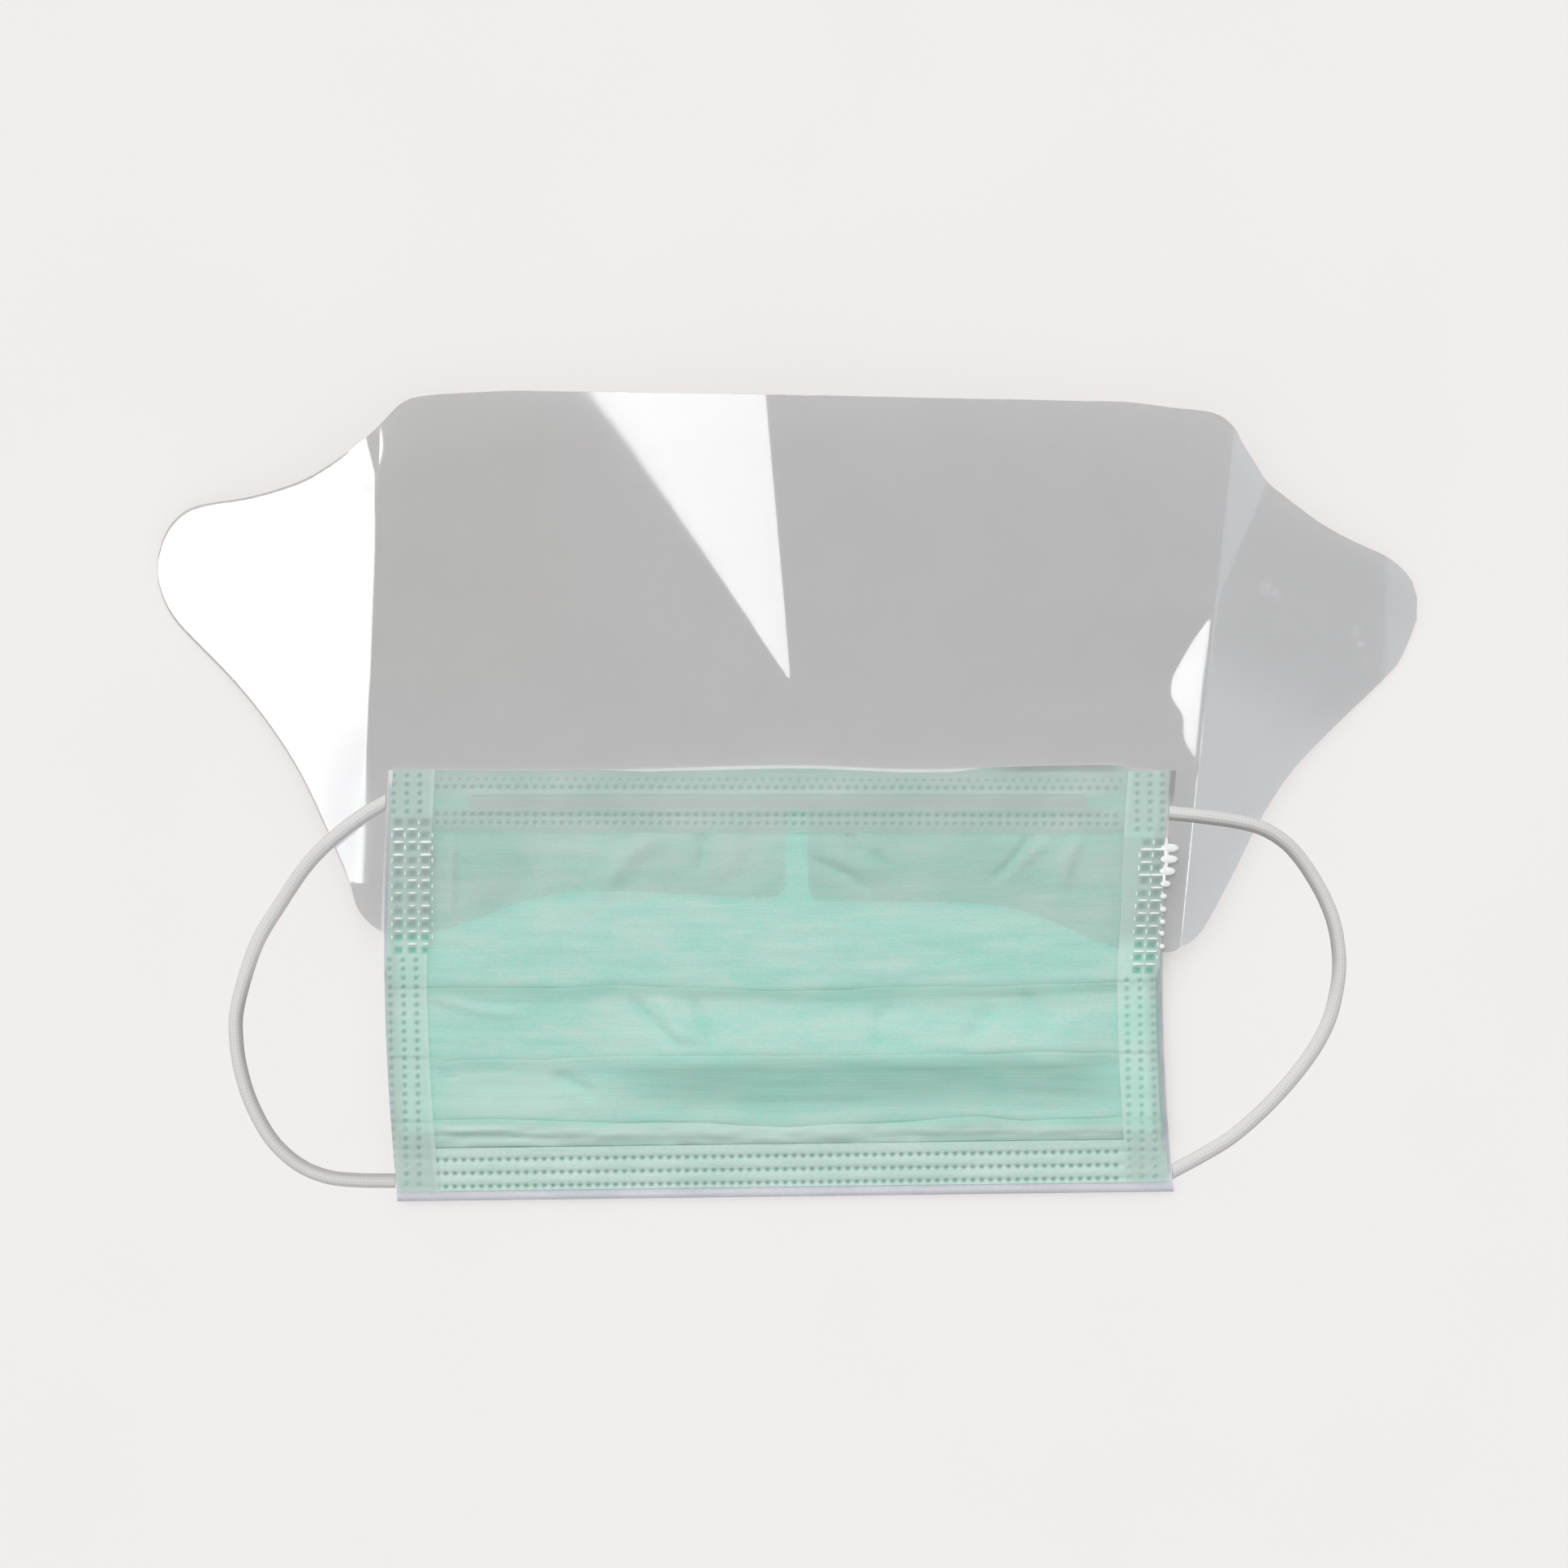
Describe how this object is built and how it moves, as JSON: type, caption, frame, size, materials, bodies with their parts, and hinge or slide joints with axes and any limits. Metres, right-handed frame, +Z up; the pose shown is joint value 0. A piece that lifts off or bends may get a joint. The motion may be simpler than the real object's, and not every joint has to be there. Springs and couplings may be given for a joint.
{
  "type": "face mask with visor",
  "caption": "Pleated ear-loop face mask with a clear creased visor sheet joined at its side bands, lying flat with its outer face up.",
  "frame": {"origin": "on the surface that the mask lies on, under the middle of the outline of mask and visor without the ear loops", "axes": "+X across the mask to the right as seen from its outer face, +Y from the chin edge towards the visor's top edge, +Z up from the surface through the outer face"},
  "size_m": [0.2822, 0.181, 0.0157],
  "materials": {
    "inner_cloth": "white matt nonwoven",
    "outer_cloth": "pale green matt nonwoven",
    "band_cloth": "pale green nonwoven, pressed with weld dots",
    "clear_film": "clear glossy sheet",
    "coated_wire": "plastic coating over a flat wire",
    "elastic": "white round knitted elastic"
  },
  "bodies": {
    "root": {"inner_layer": "inner_cloth", "outer_panel": "outer_cloth", "top_hem": "outer_cloth", "bottom_hem": "outer_cloth", "nose_wire": "coated_wire", "visor_film": "clear_film", "side_band_left": "band_cloth", "side_band_right": "band_cloth", "ear_loop_left": "elastic", "ear_loop_right": "elastic"}
  },
  "joints": []
}
